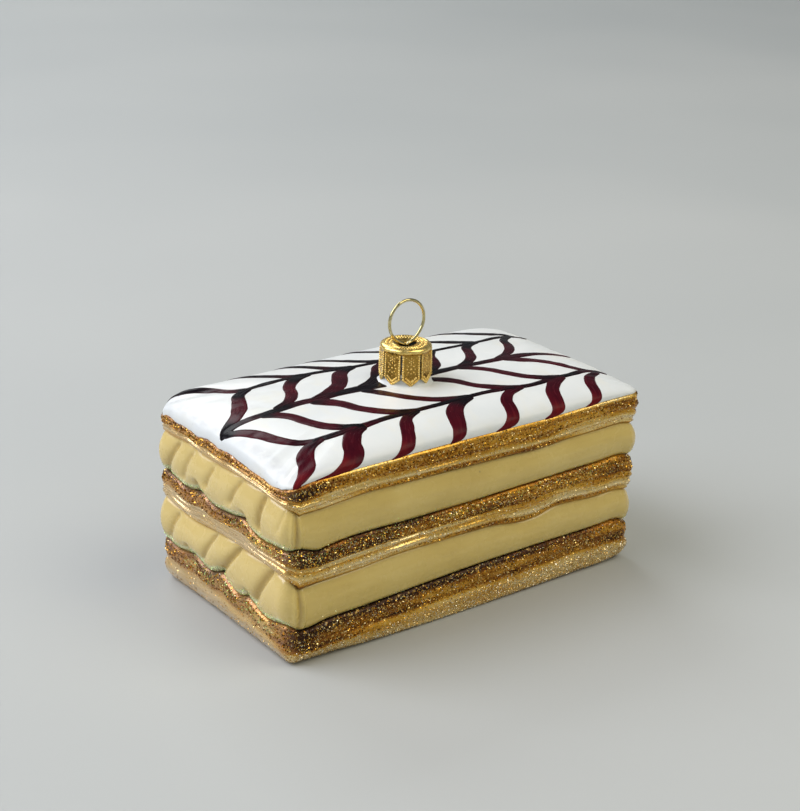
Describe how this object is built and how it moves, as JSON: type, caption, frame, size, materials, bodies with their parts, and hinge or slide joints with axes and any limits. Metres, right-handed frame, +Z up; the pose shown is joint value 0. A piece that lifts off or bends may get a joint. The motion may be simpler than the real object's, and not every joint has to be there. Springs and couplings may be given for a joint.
{
  "type": "glass ornament shaped like a mille feuille slice",
  "caption": "Blown-glass hanging ornament in the form of a feather-iced layered pastry slice, with a stamped gold crown cap and a wire ring.",
  "frame": {"origin": "middle of the flat base, under the middle of the slice", "axes": "+X along the slice's length, -Y towards its front long side, +Z up"},
  "size_m": [0.0984, 0.0534, 0.0652],
  "materials": {
    "cream_enamel": "glossy",
    "pastry_gilt": "glittered metallic lacquer",
    "icing_enamel": "glossy",
    "feather_lacquer": "glossy",
    "glitter": "glittering",
    "clear_glass": "clear",
    "cap_gold": "embossed, bright gold-coloured",
    "ring_wire": "bright pale brass"
  },
  "bodies": {
    "root": {"glass_body": "cream_enamel", "cap": "cap_gold", "ring": "ring_wire"}
  },
  "joints": []
}
